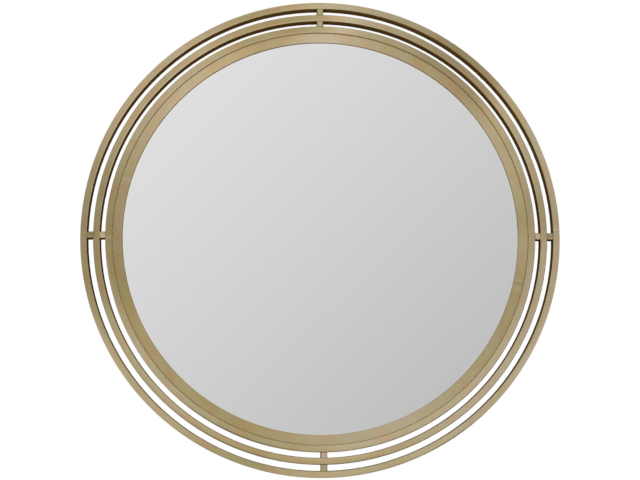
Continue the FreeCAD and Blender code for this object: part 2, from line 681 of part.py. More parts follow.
def draw_ring_path(sketch):
    """Centreline of the D ring: a straight bar, two corners, two legs and a round arch."""
    half_width, bend = value(WIRE_HALF_WIDTH), value(WIRE_BEND)
    bar, arch_height = half_width - bend, value(WIRE_REACH) - half_width

    def line(*ends):
        sketch.addGeometry(Part.LineSegment(*(FreeCAD.Vector(*end, 0) for end in ends)), False)

    def arc(centre, radius, start, end):
        circle = Part.Circle(FreeCAD.Vector(*centre, 0), FreeCAD.Vector(0, 0, 1), radius)
        sketch.addGeometry(Part.ArcOfCircle(circle, start, end), False)

    line((-bar, 0), (bar, 0))
    arc((bar, bend), bend, -math.pi / 2, 0)
    line((half_width, bend), (half_width, arch_height))
    arc((0, arch_height), half_width, 0, math.pi)
    line((-half_width, arch_height), (-half_width, bend))
    arc((-bar, bend), bend, math.pi, math.pi * 3 / 2)
    base, right_bend, right_leg, arch, _, left_bend = range(sketch.GeometryCount)
    for curve in range(sketch.GeometryCount):
        following = (curve + 1) % sketch.GeometryCount
        sketch.addConstraint(Sketcher.Constraint("Tangent", curve, 2, following, 1))
    sketch.addConstraint(Sketcher.Constraint("PointOnObject", base, 1, -1))
    sketch.addConstraint(Sketcher.Constraint("Horizontal", base))
    sketch.addConstraint(Sketcher.Constraint("Vertical", right_leg))
    sketch.addConstraint(Sketcher.Constraint("PointOnObject", arch, 3, -2))
    sketch.addConstraint(Sketcher.Constraint("Equal", right_bend, left_bend))
    dimension(sketch, "Radius", right_bend, size=WIRE_BEND)
    dimension(sketch, "Radius", arch, size=WIRE_HALF_WIDTH)
    dimension(sketch, "DistanceY", -1, 1, arch, 3, size=f"{WIRE_REACH} - {WIRE_HALF_WIDTH}")


def make_ring(node, side):
    """A D ring of round wire, raised as on its wall hook and leaning on the board."""
    body = new_body(node)
    path = new_sketch(body, "path", "XZ_Plane")
    draw_ring_path(path)
    section = new_sketch(body, "section", "YZ_Plane")
    draw_circle(section, "0", "0", "sizes.ring_wire")
    doc.recompute()
    wire = body.newObject("PartDesign::AdditivePipe", f"{node}_wire")
    wire.Profile = section
    wire.Spine = (path, [])
    doc.recompute()
    put_at_hanger(body, side)
    body.Placement.Rotation = FreeCAD.Rotation(X_AXIS, value(RING_LEAN))
    body.setExpression("Placement.Rotation.Angle", RING_LEAN)


def make_hangers():
    """A strap, a D ring and two screws on each side of the board."""
    for place, side in (("left", "-"), ("right", "")):
        make_strap(f"hanger_strap_{place}", side)
        make_ring(f"d_ring_{place}", side)
        screws = new_body(f"hanger_screws_{place}")
        screws.AllowCompound = True
        seat = f"({STRAP_STACK} - {LOOP_OUTSIDE})"
        drop = "-sizes.upper_screw_drop"
        profile, features = make_screw(screws, "0", seat, f"({STRAP_STACK} + {SCREW_BITE})", drop)
        row = screws.newObject("PartDesign::LinearPattern", f"{screws.Name}_repeated")
        row.Originals = features
        row.Direction = (profile, ["N_Axis"])
        row.Reversed = True
        row.Occurrences = HANGER_SCREWS
        row.setExpression("Length", "sizes.screw_pitch")
        screws.Tip = row
        put_at_hanger(screws, side)


def make_bumpers():
    """Round rubber bumpers on the back of the outer hoop; their flat faces touch the wall."""
    for index in range(int(value("sizes.bumper_count"))):
        body = new_body(f"wall_bumper_{index + 1}")
        outline = new_sketch(body, "outline", "XZ_Plane")
        draw_circle(outline, BUMPER_RADIUS, "0", "sizes.bumper_diameter")
        pad(body, outline, "sizes.bumper_thick")
        rim = "sizes.bumper_diameter / 2"
        round_edges(body, "sizes.bumper_round", lambda edge: is_circle(edge, rim, "0"))
        turn_to(body, f"sizes.bumper_start_angle + {index} * {FULL_TURN} / sizes.bumper_count")


def check_document():
    """Stops if any object failed or any sub-part is empty or not valid."""
    for thing in doc.Objects:
        if "Invalid" in thing.State or "Error" in thing.State:
            raise RuntimeError(f"{thing.Name} is in state {thing.State}")
    for body in nodes:
        if body.Shape.isNull() or not body.Shape.isValid() or not body.Shape.Solids:
            raise RuntimeError(f"{body.Label} has no valid solid")


def write_parts():
    """Writes one file for each sub-part."""
    os.makedirs("parts", exist_ok=True)
    for body in nodes:
        body.Shape.exportStep(f"parts/{body.Label}.step")


fill_sheet()
make_hoops()
make_spacers()
make_lip()
make_glazing()
make_clips()
make_hangers()
make_bumpers()
doc.recompute()
check_document()
write_parts()
for built in nodes:
    print(f"{built.Label}: {len(built.Shape.Solids)} solid, {built.Shape.Volume:.0f} cubic millimetres")
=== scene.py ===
"""Round wall mirror of three brushed brass hoops round a mirror glass, dressed and lit for its picture.

Metres. +Z is up, the glass faces -Y and the wall that the mirror hangs on is the plane Y = 0. Angles are in
degrees and run anticlockwise as seen from the front, from 3 o'clock.
"""

import math

import bmesh
import bpy
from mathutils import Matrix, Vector


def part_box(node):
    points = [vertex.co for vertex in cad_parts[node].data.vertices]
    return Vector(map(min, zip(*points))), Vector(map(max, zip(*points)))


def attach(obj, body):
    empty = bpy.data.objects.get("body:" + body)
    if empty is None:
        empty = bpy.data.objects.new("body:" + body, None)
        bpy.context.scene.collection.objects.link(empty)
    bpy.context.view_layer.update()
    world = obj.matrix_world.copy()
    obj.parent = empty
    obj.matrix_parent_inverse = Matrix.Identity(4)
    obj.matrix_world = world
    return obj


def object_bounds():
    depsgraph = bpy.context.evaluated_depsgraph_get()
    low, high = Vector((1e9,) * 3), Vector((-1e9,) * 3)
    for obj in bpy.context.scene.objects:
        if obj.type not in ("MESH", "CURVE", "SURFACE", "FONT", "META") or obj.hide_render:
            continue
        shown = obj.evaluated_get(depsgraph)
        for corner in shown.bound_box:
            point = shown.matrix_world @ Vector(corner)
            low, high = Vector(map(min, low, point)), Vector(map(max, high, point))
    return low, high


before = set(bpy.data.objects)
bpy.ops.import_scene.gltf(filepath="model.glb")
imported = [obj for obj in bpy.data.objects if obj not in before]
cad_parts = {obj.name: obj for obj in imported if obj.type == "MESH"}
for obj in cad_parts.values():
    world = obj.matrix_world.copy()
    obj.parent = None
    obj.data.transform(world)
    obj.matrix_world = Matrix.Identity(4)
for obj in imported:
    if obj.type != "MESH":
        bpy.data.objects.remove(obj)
cad_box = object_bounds()


def srgb(red, green, blue):
    """Linear colour of a display colour given in steps of 255."""
    steps = (red / 255, green / 255, blue / 255)
    return tuple(c / 12.92 if c <= 0.04045 else ((c + 0.055) / 1.055) ** 2.4 for c in steps) + (1.0,)


WHITE = (1.0, 1.0, 1.0, 1.0)

# Sockets of the mix node that a mix of colours uses, and the middle value of a noise.
MIX_SHARE, MIX_FIRST, MIX_SECOND, MIX_RESULT = 0, 6, 7, 2
NOISE_MIDDLE = 0.5

# The picture's frame, and the camera that saw the mirror from a little below and to the left.
FRAME_WIDTH = 640
FOCAL_PIXELS = 1430.6
SENSOR_WIDTH = 36.0
CAMERA_PLACE = Vector((-0.070, -2.73, -0.375))
CAMERA_TARGET = Vector((-0.0019, -0.03, -0.0094))

# The floor lies below the mirror and ends before the camera's lowest ray meets it. For the camera it turns
# white from one distance to another, and reflected rays pass through its far part, so that the glass shows
# no hard horizon.
FLOOR_DROP = 0.34
FLOOR_RADIUS = 9.0
FLOOR_SIDES = 96
FLOOR_COLOUR = srgb(238, 238, 236)
FLOOR_WHITE_SHARE = 0.6
FLOOR_FADE_START = 2.5
FLOOR_FADE_END = 8.0
FLOOR_CLEAR_START = 1.2
FLOOR_CLEAR_END = 8.4

# Light of the studio. The front is what the glass reflects: brighter to the left and above.
FRONT_LEVEL = 0.630
FRONT_FALL_RIGHT = 0.60
FRONT_RISE_UP = 0.63
FRONT_DARKEST = 0.30
FRONT_BRIGHTEST = 1.30
AROUND_LEVEL = 0.45
AROUND_STARTS_AT = 0.955
AROUND_FULL_AT = 0.80
BEHIND_STARTS_AT = -0.25
BEHIND_FULL_AT = 0.15
CEILING_PANEL = Vector((-0.13, -0.64, 0.75))
CEILING_PANEL_LEVEL = 0.8
CEILING_PANEL_WIDTH = 0.45
LAMP_POWER = 60.0
LAMP_SIZE = 2.4
LAMP_PLACE = Vector((-2.2, -2.6, 3.0))

# Sizes and numbers of the CAD that scene pieces and finishes follow.
TUBE_FACE = 0.0127
TUBE_CORNER = 0.0013
HOOP_BACK = 0.0050
LIP_OPENING_RADIUS = 0.37765
CLIP_COUNT = 8
BUMPER_COUNT = 4


class Nodes:
    """Writes a node tree with short calls. A value given to a call is a number, a colour or a socket."""

    def __init__(self, tree):
        self.tree = tree
        tree.nodes.clear()

    def add(self, kind, inputs=None, **settings):
        node = self.tree.nodes.new(kind)
        for name, setting in settings.items():
            setattr(node, name, setting)
        for name, given in (inputs or {}).items():
            self.put(node.inputs[name], given)
        return node

    def put(self, socket, given):
        if isinstance(given, bpy.types.NodeSocket):
            self.tree.links.new(given, socket)
        else:
            socket.default_value = given

    def math(self, operation, first, second=0.0, third=0.0, clamp=False):
        inputs = {0: first, 1: second, 2: third}
        return self.add("ShaderNodeMath", inputs, operation=operation, use_clamp=clamp).outputs[0]

    def times_plus(self, given, factor, added, clamp=False):
        """The given value times a factor, plus what is added."""
        return self.math("MULTIPLY_ADD", given, factor, added, clamp)

    def vector_math(self, operation, first, second=(0.0, 0.0, 0.0)):
        node = self.add("ShaderNodeVectorMath", {0: first, 1: second}, operation=operation)
        return node.outputs["Value" if operation in ("LENGTH", "DOT_PRODUCT") else "Vector"]

    def split(self, vector):
        return self.add("ShaderNodeSeparateXYZ", {0: vector}).outputs

    def join(self, x, y, z):
        return self.add("ShaderNodeCombineXYZ", {0: x, 1: y, 2: z}).outputs[0]

    def mix(self, share, first, second, blend="MIX"):
        node = self.add("ShaderNodeMix", data_type="RGBA", blend_type=blend)
        self.put(node.inputs[MIX_SHARE], share)
        self.put(node.inputs[MIX_FIRST], first)
        self.put(node.inputs[MIX_SECOND], second)
        return node.outputs[MIX_RESULT]

    def shaded(self, colour, shade, blue=None):
        """A colour times a shade. Its blue may have a shade of its own."""
        shades = self.join(shade, shade, shade if blue is None else blue)
        return self.mix(1.0, colour, shades, blend="MULTIPLY")

    def smooth(self, given, start, end, low=0.0, high=1.0):
        """Goes smoothly from low to high as the given value goes from start to end."""
        node = self.add("ShaderNodeMapRange", interpolation_type="SMOOTHSTEP")
        for index, number in enumerate((given, start, end, low, high)):
            self.put(node.inputs[index], number)
        return node.outputs[0]

    def near(self, given, middle, reach):
        """One where the given value is at the middle, falling smoothly to zero at its reach."""
        return self.smooth(self.math("ABSOLUTE", self.math("SUBTRACT", given, middle)), reach, 0.0)

    def noise(self, vector, scale=1.0, detail=2.0, roughness=0.5):
        inputs = {"Vector": vector, "Scale": scale, "Detail": detail, "Roughness": roughness}
        return self.add("ShaderNodeTexNoise", inputs).outputs[0]

    def bump(self, height, distance):
        inputs = {"Height": height, "Distance": distance, "Strength": 1.0}
        return self.add("ShaderNodeBump", inputs).outputs[0]

    def surface(self, **inputs):
        """The finished surface: a Principled shader on the material's output."""
        named = {name.replace("_", " "): given for name, given in inputs.items()}
        shader = self.add("ShaderNodeBsdfPrincipled", named).outputs[0]
        self.add("ShaderNodeOutputMaterial", {0: shader})


def new_material(name):
    """An empty material and its node writer."""
    material = bpy.data.materials.new(name)
    material.use_nodes = True
    return material, Nodes(material.node_tree)


def dress(material, *names):
    """Gives a material to every slot of the named CAD nodes."""
    for name in names:
        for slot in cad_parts[name].material_slots:
            slot.material = material


def object_place(nodes):
    """Place on the object, in metres, and the surface's own normal there."""
    coordinates = nodes.add("ShaderNodeTexCoord")
    return coordinates.outputs["Object"], coordinates.outputs["Normal"]


def add_object(name, data):
    """A new object in the scene."""
    thing = bpy.data.objects.new(name, data)
    bpy.context.scene.collection.objects.link(thing)
    return thing


def add_mesh(name, points, faces, material):
    """A new object from points and faces, with its material."""
    mesh = bpy.data.meshes.new(name)
    mesh.from_pydata(points, [], faces)
    mesh.materials.append(material)
    return add_object(name, mesh)


def join_sections(faces, near, far, corners):
    """Adds the faces between two sections of a run, given the number of each one's first point."""
    for corner in range(corners):
        beside = (corner + 1) % corners
        faces.append((near + corner, near + beside, far + beside, far + corner))


# Brushed brass plating. The brush reaches the faces; the walls between the hoops are painted dark: painted
# shade.
OLIVE_GOLD = srgb(198, 184, 147)
TAN_GOLD = srgb(201, 176, 137)
WALL_SHADE_BROWN = srgb(116, 90, 48)
GROOVE_SHADE_BROWN = srgb(172, 148, 102)
SPACER_WALL_SHADE_BROWN = srgb(84, 64, 32)
HOOP_TONE = 1.018
# The upper half of the lip is painted lighter than the lower: painted light from above.
LIP_TONES = (("upper", 1.058), ("lower", 1.018))
FACE_ROUGHNESS = 0.38
WALL_ROUGHNESS = 0.62
BRUSH_ANISOTROPY = 0.8

# Patches of olive and tan.
PATCH_SIZE = 0.034
PATCH_DETAIL = 1.5
PATCH_TAN_STARTS_AT = 0.36
PATCH_TAN_FULL_AT = 0.64
SPACER_PATCH_SPREAD = 0.3

# Brush streaks and fine scratches. On a ring they span the same angle at every radius, and have the length
# given here at this one.
STREAK_RING_RADIUS = 0.45
STREAK_LENGTH = 0.05
STREAK_WIDTH = 0.0022
STREAK_NOISE = {"detail": 3.0, "roughness": 0.6}
STREAK_CONTRAST = 0.20
SCRATCH_LENGTH = 0.018
SCRATCH_WIDTH = 0.00055
SCRATCH_NOISE = {"detail": 2.0, "roughness": 0.7}
SCRATCH_CONTRAST = 0.26
SCRATCH_ROUGHNESS = 0.14

# How far a surface faces the front or back to be brushed, and outward to be an outer wall. The brush also
# reaches the rim of the outer hoop.
FACE_STARTS_AT = 0.62
FACE_FULL_AT = 0.96
OUTER_WALL_TURN = 0.2
RIM_STARTS_AT = 0.2
RIM_FULL_AT = 0.7
WALL_SHADE_AT_SIDES = 0.62
WALL_SHADE_POWER = 14.0

# Blue in the finish: its share on each kind of ring, more of it to the right, a painted cooler light from
# that side, and where the tone is lighter.
RING_BLUE = {"outer_hoop": 0.95, "hoop": 0.945, "inner_hoop": 0.965, "lip": 0.915, "bead": 0.95}
RIGHT_SIDE_BLUE = 0.03
SHADED_BLUE = 0.45

# The outermost line of a hoop's face is painted a little darker and greyer: painted shade on its rounded
# edge.
EDGE_GREY_WIDTH = 0.0030
EDGE_GREY_BLUE = 0.09
EDGE_GREY_SHADE = -0.03

# Places round a ring where the finish is lighter or darker: angle, reach and change of tone. The shared
# places are painted reflections of the room's lights; each ring's own list holds more of them, with its
# seams and uneven tone.
HOOP_REFLECTIONS = (
    (27, 20, 0.19),
    (47, 18, -0.15),
    (67, 14, -0.04),
    (87, 20, 0.11),
    (107, 16, -0.12),
    (138, 30, 0.17),
    (178, 32, -0.20),
    (207, 16, 0.06),
    (247, 20, -0.18),
    (265, 18, -0.05),
    (325, 50, 0.13),
    (355, 26, 0.10),
)
OUTER_HOOP_REFLECTIONS_AND_MARKS = (
    (1.6, 0.25, 0.20),
    (15, 15, 0.15),
    (36, 8, 0.06),
    (46, 8, -0.03),
    (54, 8, -0.08),
    (60, 15, -0.16),
    (66, 8, 0.05),
    (75, 12, -0.05),
    (105, 14, -0.06),
    (135, 15, -0.08),
    (190, 15, 0.03),
    (195, 15, -0.11),
    (210, 15, 0.03),
    (225, 15, 0.03),
    (240, 15, 0.06),
    (255, 12, -0.05),
    (275, 15, 0.04),
    (286, 10, -0.07),
    (315, 20, -0.06),
    (326, 8, 0.05),
    (334, 15, 0.07),
    (356, 8, 0.10),
)
MIDDLE_HOOP_REFLECTIONS_AND_MARKS = (
    (5, 15, -0.09),
    (15, 8, 0.08),
    (36, 8, 0.15),
    (45, 15, -0.02),
    (54, 8, -0.05),
    (60, 15, -0.11),
    (84, 8, 0.13),
    (95, 13, -0.20),
    (126, 8, 0.04),
    (135, 15, -0.15),
    (150, 15, -0.04),
    (165, 15, -0.05),
    (195, 15, -0.06),
    (240, 15, 0.06),
    (247, 9, 0.09),
    (292, 24, -0.08),
    (330, 12, 0.05),
    (347, 16, 0.04),
    (356, 8, 0.09),
)
INNER_HOOP_REFLECTIONS_AND_MARKS = (
    (5, 15, -0.08),
    (16, 9, 0.06),
    (36, 8, 0.15),
    (60, 15, -0.15),
    (66, 8, 0.08),
    (75, 12, -0.05),
    (84, 8, 0.18),
    (95, 13, -0.18),
    (111, 3.5, -0.05),
    (135, 15, -0.05),
    (146, 8, -0.06),
    (180.75, 0.9, 0.15),
    (195, 15, -0.07),
    (214, 9, 0.05),
    (225, 15, 0.03),
    (233, 8, -0.06),
    (240, 15, 0.08),
    (243.5, 3, -0.06),
    (266, 8, -0.06),
    (275, 15, 0.04),
    (287, 16, 0.03),
    (330, 15, 0.05),
)
LIP_REFLECTIONS_AND_MARKS = (
    (5, 8, -0.08),
    (7, 20, 0.05),
    (15, 15, 0.06),
    (27, 20, 0.15),
    (33, 12, 0.07),
    (47, 18, -0.12),
    (65, 15, -0.07),
    (78, 12, -0.05),
    (87, 20, 0.20),
    (105, 15, -0.11),
    (120, 15, -0.04),
    (133, 38, 0.20),
    (157, 15, -0.06),
    (162.6, 1.2, -0.08),
    (164.0, 0.45, 0.20),
    (190, 34, -0.20),
    (207, 14, 0.07),
    (232, 40, -0.11),
    (247, 18, -0.10),
    (258, 12, -0.05),
    (267, 16, -0.04),
    (282, 16, -0.05),
    (287, 20, 0.05),
    (320, 34, -0.05),
    (344.6, 1.0, 0.11),
    (346.4, 0.7, -0.18),
    (356, 8, 0.06),
)

# Places where a hoop is painted lighter towards its outer edge and darker towards its inner edge, or the
# reverse: painted light and shade across its face.
HOOP_LIGHT_LEANS = {
    "outer_hoop": (
        (95, 15, -0.08),
        (210, 16, 0.07),
        (275, 16, -0.05),
        (332, 16, 0.10),
    ),
    "hoop": (
        (225, 16, -0.12),
        (240, 14, -0.07),
        (275, 16, -0.13),
        (287, 14, -0.08),
        (345, 16, 0.06),
    ),
    "inner_hoop": (
        (232, 20, -0.09),
        (275, 14, -0.04),
        (345, 15, 0.03),
    ),
}

# Places where the finish turns from olive to tan: angle, reach and change of share.
TAN_PLACES = {
    "outer_hoop": (
        (20, 20, -0.20),
        (40, 20, 0.20),
        (78, 24, -0.35),
        (128, 44, 0.10),
        (218, 30, -0.30),
        (275, 16, -0.40),
        (305, 45, -0.40),
    ),
    "hoop": (
        (34, 10, -0.35),
        (40, 20, 0.30),
        (75, 14, -0.30),
        (107, 14, 0.40),
        (128, 44, 0.20),
        (180, 20, 0.10),
        (222, 26, -0.40),
        (310, 36, -0.50),
        (345, 30, -0.35),
    ),
    "inner_hoop": (
        (25, 22, -0.35),
        (87, 14, -0.40),
        (128, 44, 0.05),
        (215, 30, -0.40),
        (305, 45, -0.20),
        (315, 16, -0.25),
        (348, 18, -0.40),
    ),
    "lip": (
        (17, 24, -0.25),
        (34, 10, -0.40),
        (47, 16, 0.60),
        (87, 22, -0.45),
        (128, 44, 0.05),
        (227, 22, 0.25),
        (270, 18, 0.30),
        (305, 45, -0.65),
        (355, 12, -0.30),
    ),
    "bead": (),
}

# Places where the finish holds more or less blue: angle, reach and change of its share.
BLUE_PLACES = {
    "outer_hoop": (
        (10, 20, -0.04),
        (32, 24, -0.07),
        (45, 10, 0.03),
        (63, 22, 0.06),
        (80, 20, 0.04),
        (100, 16, -0.03),
        (122, 16, 0.04),
        (145, 40, 0.04),
        (163, 26, 0.03),
        (176, 14, 0.04),
        (195, 12, -0.05),
        (227, 18, 0.04),
        (275, 16, 0.03),
        (310, 30, 0.06),
    ),
    "hoop": (
        (10, 20, -0.06),
        (32, 20, -0.07),
        (58, 24, 0.08),
        (77, 12, 0.03),
        (103, 16, -0.07),
        (122, 16, 0.04),
        (170, 18, 0.03),
        (226, 14, 0.05),
        (315, 30, 0.08),
    ),
    "inner_hoop": (
        (7, 20, -0.04),
        (30, 16, -0.10),
        (55, 25, 0.03),
        (130, 18, 0.03),
        (172, 16, 0.04),
        (187, 20, -0.03),
        (207, 16, 0.03),
        (225, 25, 0.05),
        (287, 18, 0.04),
        (312, 18, 0.04),
    ),
    "lip": (
        (12, 24, -0.09),
        (55, 20, 0.03),
        (85, 30, 0.10),
        (150, 30, 0.07),
        (176, 16, 0.09),
        (200, 12, -0.08),
        (270, 20, 0.06),
        (290, 40, 0.14),
        (340, 18, -0.08),
    ),
    "bead": (),
}

# The inner edge of each hoop, lighter or darker: painted highlight where its rounded edge catches the
# light, painted shade where it does not: angle, reach and change of tone.
INNER_EDGE_LIGHT = {
    "outer_hoop": (
        (22, 18, -0.30),
        (60, 36, -0.36),
        (112, 12, 0.20),
        (128, 32, 0.32),
        (163, 28, 0.50),
        (275, 16, -0.30),
        (330, 18, -0.45),
    ),
    "hoop": (
        (20, 26, 0.36),
        (58, 20, 0.20),
        (96, 18, 0.75),
        (130, 34, 0.60),
        (163, 30, 0.55),
        (186, 12, 0.30),
    ),
    "inner_hoop": (
        (55, 36, -0.20),
        (98, 20, 0.60),
        (130, 30, 0.30),
        (160, 36, 0.18),
    ),
}
INNER_EDGE_WIDTH = 0.0026

# The outer edge of each hoop, lighter or darker: painted highlight where its rounded edge catches the
# light, painted shade where it does not: angle, reach and change of tone.
OUTER_EDGE_LIGHT = {
    "outer_hoop": (
        (38, 52, 0.10),
        (105, 16, 0.10),
        (240, 14, -0.10),
        (283, 20, -0.16),
        (302, 13, -0.50),
    ),
    "hoop": (
        (45, 18, 0.14),
        (73, 14, 0.12),
        (122, 20, -0.13),
        (215, 20, -0.12),
        (250, 28, -0.50),
        (287, 26, -0.10),
        (335, 28, 0.11),
    ),
    "inner_hoop": (
        (10, 20, 0.13),
        (190, 18, 0.16),
        (249, 28, -0.52),
        (293, 26, -0.16),
        (337, 26, 0.17),
    ),
}
OUTER_EDGE_STARTS_AT = 0.0040
OUTER_EDGE_FULL_AT = 0.0012

# Where the brushed finish runs on over a hoop's rounded edges: angle, reach and share.
BRIGHT_CORNERS = ((118, 28, 0.20), (150, 34, 0.26))

# The dark line on the free edge of the lip: painted shade.
LIP_EDGE_WIDTH = 0.0016
LIP_EDGE_SHADE = -0.08
LIP_EDGE_PLACES = ((132, 44, -0.36),)

# The line of light beside it: its place from the edge, its reach, and where it is strong.
LIP_LIGHT_LINE = 0.0046
LIP_LIGHT_REACH = 0.0022
LIP_LIGHT_PLACES = ((60, 22, 0.04), (135, 34, 0.07), (176, 26, 0.07))

# Tone and tan share of each spacer, its own blue, the shade at its outer end, and its angle. The tones are
# painted light, each spacer lit or shaded by its place; the end shade is painted shade where it meets its
# hoop.
SPACERS = {
    "outer_spacer_right": (0.82, 0.9, 0.99, -0.50, 359.88),
    "inner_spacer_right": (1.18, 0.5, 1.11, -0.40, 359.88),
    "outer_spacer_top": (1.15, 0.0, 0.88, -0.25, 90.26),
    "inner_spacer_top": (1.24, 0.1, 0.93, -0.45, 90.26),
    "outer_spacer_left": (0.57, 1.0, 0.97, -0.15, 180.1),
    "inner_spacer_left": (1.05, 0.6, 1.09, 0.0, 180.1),
    "outer_spacer_bottom": (1.02, 0.1, 0.91, -0.15, 270.74),
    "inner_spacer_bottom": (1.27, 0.7, 1.21, -0.15, 270.74),
}

# Brush marks along each spacer, with painted light and shade across its rounded face: place up or to the
# right of its middle, and change of tone.
SPACER_MARKS_AND_SHADE = {
    "outer_spacer_right": (
        (-0.0046, 0.28),
        (-0.0008, -0.09),
    ),
    "inner_spacer_right": (
        (-0.0050, 0.04),
        (0.0018, 0.09),
        (0.0040, -0.11),
    ),
    "outer_spacer_top": (
        (-0.0052, -0.52),
        (-0.0029, -0.10),
        (0.0008, -0.09),
        (0.0027, 0.08),
        (0.0048, -0.12),
    ),
    "inner_spacer_top": (
        (-0.0050, -0.22),
        (-0.0030, -0.06),
        (0.0008, -0.12),
        (0.0048, -0.55),
    ),
    "outer_spacer_left": (
        (-0.0062, -0.30),
        (-0.0036, 0.24),
    ),
    "inner_spacer_left": (
        (-0.0055, 0.14),
        (-0.0034, 0.06),
        (0.0006, 0.06),
        (0.0026, -0.14),
        (0.0046, -0.12),
    ),
    "outer_spacer_bottom": (
        (-0.0048, 0.08),
        (-0.0030, 0.05),
        (-0.0008, -0.07),
        (0.0010, -0.08),
        (0.0048, -0.14),
    ),
    "inner_spacer_bottom": (
        (-0.0050, -0.52),
        (0.0008, -0.04),
        (0.0048, -0.06),
    ),
}
SPACER_MARK_REACH = 0.0017
SPACER_BRUSH_LENGTH = 0.03
SPACER_BRUSH_WIDTH = 0.0012
# Painted shade on the side edges of each spacer and at its outer end.
SPACER_END_WIDTH = 0.0022
SPACER_EDGE_STARTS_AT = 0.0044
SPACER_EDGE_ENDS_AT = 0.0066
SPACER_EDGE_SHADE = 0.55


class RoundPlace:
    """Where a point of the surface lies on the round frame, and how it faces."""

    def __init__(self, nodes):
        self.place, self.normal = object_place(nodes)
        x, self.depth, z = nodes.split(self.place)
        self.radius = nodes.vector_math("LENGTH", nodes.join(x, 0.0, z))
        self.across = nodes.math("DIVIDE", x, self.radius)
        self.up = nodes.math("DIVIDE", z, self.radius)
        self.clock = nodes.math("ARCTAN2", self.up, self.across)
        self.outward = nodes.join(self.across, 0.0, self.up)
        self.around = nodes.join(nodes.math("MULTIPLY", self.up, -1.0), 0.0, self.across)
        _, normal_y, _ = nodes.split(self.normal)
        self.facing = nodes.math("ABSOLUTE", normal_y)
        self.patches = nodes.noise(self.place, scale=1 / PATCH_SIZE, detail=PATCH_DETAIL)


def near_angle(nodes, clock, angle, reach):
    """One at an angle, falling smoothly to zero at its reach, both in degrees."""
    offset = nodes.math("WRAP", nodes.math("SUBTRACT", clock, math.radians(angle)), math.pi, -math.pi)
    return nodes.smooth(nodes.math("ABSOLUTE", offset), math.radians(reach), 0.0)


def add_places(nodes, at, places, start=0.0):
    """Adds the change of each place to a value."""
    for angle, reach, amount in places:
        start = nodes.times_plus(near_angle(nodes, at.clock, angle, reach), amount, start)
    return start


def along_ring(nodes, at, length, width):
    """Where a point lies in a pattern of streaks that run round a ring."""
    share = STREAK_RING_RADIUS / length
    rows = nodes.math("DIVIDE", nodes.math("ADD", at.radius, at.depth), width)
    return nodes.join(nodes.math("MULTIPLY", at.across, share), nodes.math("MULTIPLY", at.up, share), rows)


def along_spacer(nodes, at, beside, angle, length, width):
    """Where a point lies in a pattern of streaks that run along a spacer."""
    return nodes.join(nodes.math("DIVIDE", beside, width), nodes.math("DIVIDE", at.radius, length), angle)


def brushing(nodes, streak_place, scratch_place):
    """The change of tone by brush streaks and fine scratches, and the scratches alone."""
    streaks = nodes.noise(streak_place, **STREAK_NOISE)
    change = nodes.times_plus(streaks, STREAK_CONTRAST, -STREAK_CONTRAST * NOISE_MIDDLE)
    scratches = nodes.math("SUBTRACT", nodes.noise(scratch_place, **SCRATCH_NOISE), NOISE_MIDDLE)
    return nodes.times_plus(scratches, SCRATCH_CONTRAST, change), scratches


def brass_surface(nodes, face, colour, wall, scratches, tangent):
    """The finished brass: metal of one colour where it is brushed, a dull wall of another elsewhere."""
    roughness = nodes.times_plus(face, FACE_ROUGHNESS - WALL_ROUGHNESS, WALL_ROUGHNESS)
    nodes.surface(
        Base_Color=nodes.mix(face, wall, colour),
        Metallic=face,
        Roughness=nodes.times_plus(scratches, SCRATCH_ROUGHNESS, roughness),
        Specular_IOR_Level=0.0,
        Anisotropic=BRUSH_ANISOTROPY,
        Tangent=tangent,
    )


def add_hoop_edges(nodes, at, part, outside, change):
    """Adds the painted light and shade between the inner and outer edge of a hoop."""
    inside = outside - TUBE_FACE
    lean = add_places(nodes, at, HOOP_LIGHT_LEANS[part])
    to_outside = nodes.times_plus(at.radius, 2 / TUBE_FACE, 1 - 2 * outside / TUBE_FACE)
    change = nodes.times_plus(to_outside, lean, change)
    edge = nodes.smooth(at.radius, inside + INNER_EDGE_WIDTH, inside)
    change = nodes.times_plus(edge, add_places(nodes, at, INNER_EDGE_LIGHT[part]), change)
    edge = nodes.smooth(at.radius, outside - OUTER_EDGE_STARTS_AT, outside - OUTER_EDGE_FULL_AT)
    return nodes.times_plus(edge, add_places(nodes, at, OUTER_EDGE_LIGHT[part]), change)


def add_lip_lines(nodes, at, change):
    """Adds the painted shade on the free edge of the lip, and the painted line of light beside it."""
    edge = nodes.smooth(at.radius, LIP_OPENING_RADIUS + LIP_EDGE_WIDTH, LIP_OPENING_RADIUS)
    change = nodes.times_plus(edge, add_places(nodes, at, LIP_EDGE_PLACES, LIP_EDGE_SHADE), change)
    line = nodes.near(at.radius, LIP_OPENING_RADIUS + LIP_LIGHT_LINE, LIP_LIGHT_REACH)
    return nodes.times_plus(line, add_places(nodes, at, LIP_LIGHT_PLACES), change)


def ring_walls(nodes, at, part, facing_out):
    """The walls of a ring in painted shade, darker to the left and right. The painted shade in the fine
    joint by the lip is paler.
    """
    sideways = nodes.math("POWER", nodes.math("ABSOLUTE", at.across), WALL_SHADE_POWER)
    shaded_wall = nodes.shaded(WALL_SHADE_BROWN, nodes.times_plus(sideways, WALL_SHADE_AT_SIDES - 1.0, 1.0))
    outer_wall = GROOVE_SHADE_BROWN if part == "lip" else shaded_wall
    inner_wall = GROOVE_SHADE_BROWN if part == "inner_hoop" else shaded_wall
    return nodes.mix(nodes.smooth(facing_out, -OUTER_WALL_TURN, OUTER_WALL_TURN), inner_wall, outer_wall)


